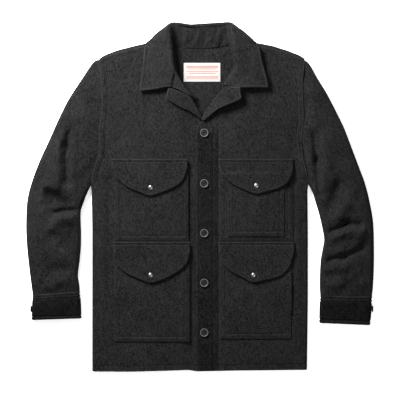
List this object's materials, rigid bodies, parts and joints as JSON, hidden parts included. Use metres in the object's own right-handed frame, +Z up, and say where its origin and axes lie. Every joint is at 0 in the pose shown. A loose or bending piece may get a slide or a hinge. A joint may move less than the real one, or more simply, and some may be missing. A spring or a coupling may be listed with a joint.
{
  "type": "mackinaw jacket",
  "caption": "Heavy wool mackinaw jacket laid flat on its back: notched collar, buttoned front, patch pockets with pointed snap flaps, band cuffs.",
  "frame": {"origin": "on the surface that the jacket lies on, under the middle of its outline", "axes": "+Z up out of the surface through the front, +Y from hem to collar, +X towards the wearer's left"},
  "size_m": [0.8216, 0.8217, 0.0319],
  "materials": {
    "wool": "napped charcoal wool",
    "button": "satin",
    "snap": "polished nickel",
    "label": "plain white woven tape"
  },
  "bodies": {
    "root": {"back": "wool", "front_right": "wool", "front_left": "wool", "sleeve_right": "wool", "sleeve_left": "wool", "cuff_right": "wool", "cuff_left": "wool", "collar": "wool", "lapel_right": "wool", "lapel_left": "wool", "pocket_upper_right": "wool", "pocket_lower_right": "wool", "pocket_upper_left": "wool", "pocket_lower_left": "wool", "utility_pocket": "wool", "flap_upper_right": "wool", "flap_lower_right": "wool", "flap_upper_left": "wool", "flap_lower_left": "wool", "snap_upper_right": "snap", "snap_lower_right": "snap", "snap_upper_left": "snap", "snap_lower_left": "snap", "button_1": "button", "button_2": "button", "button_3": "button", "button_4": "button", "button_5": "button", "cuff_button_right": "button", "cuff_button_left": "button", "label": "label"}
  },
  "joints": []
}
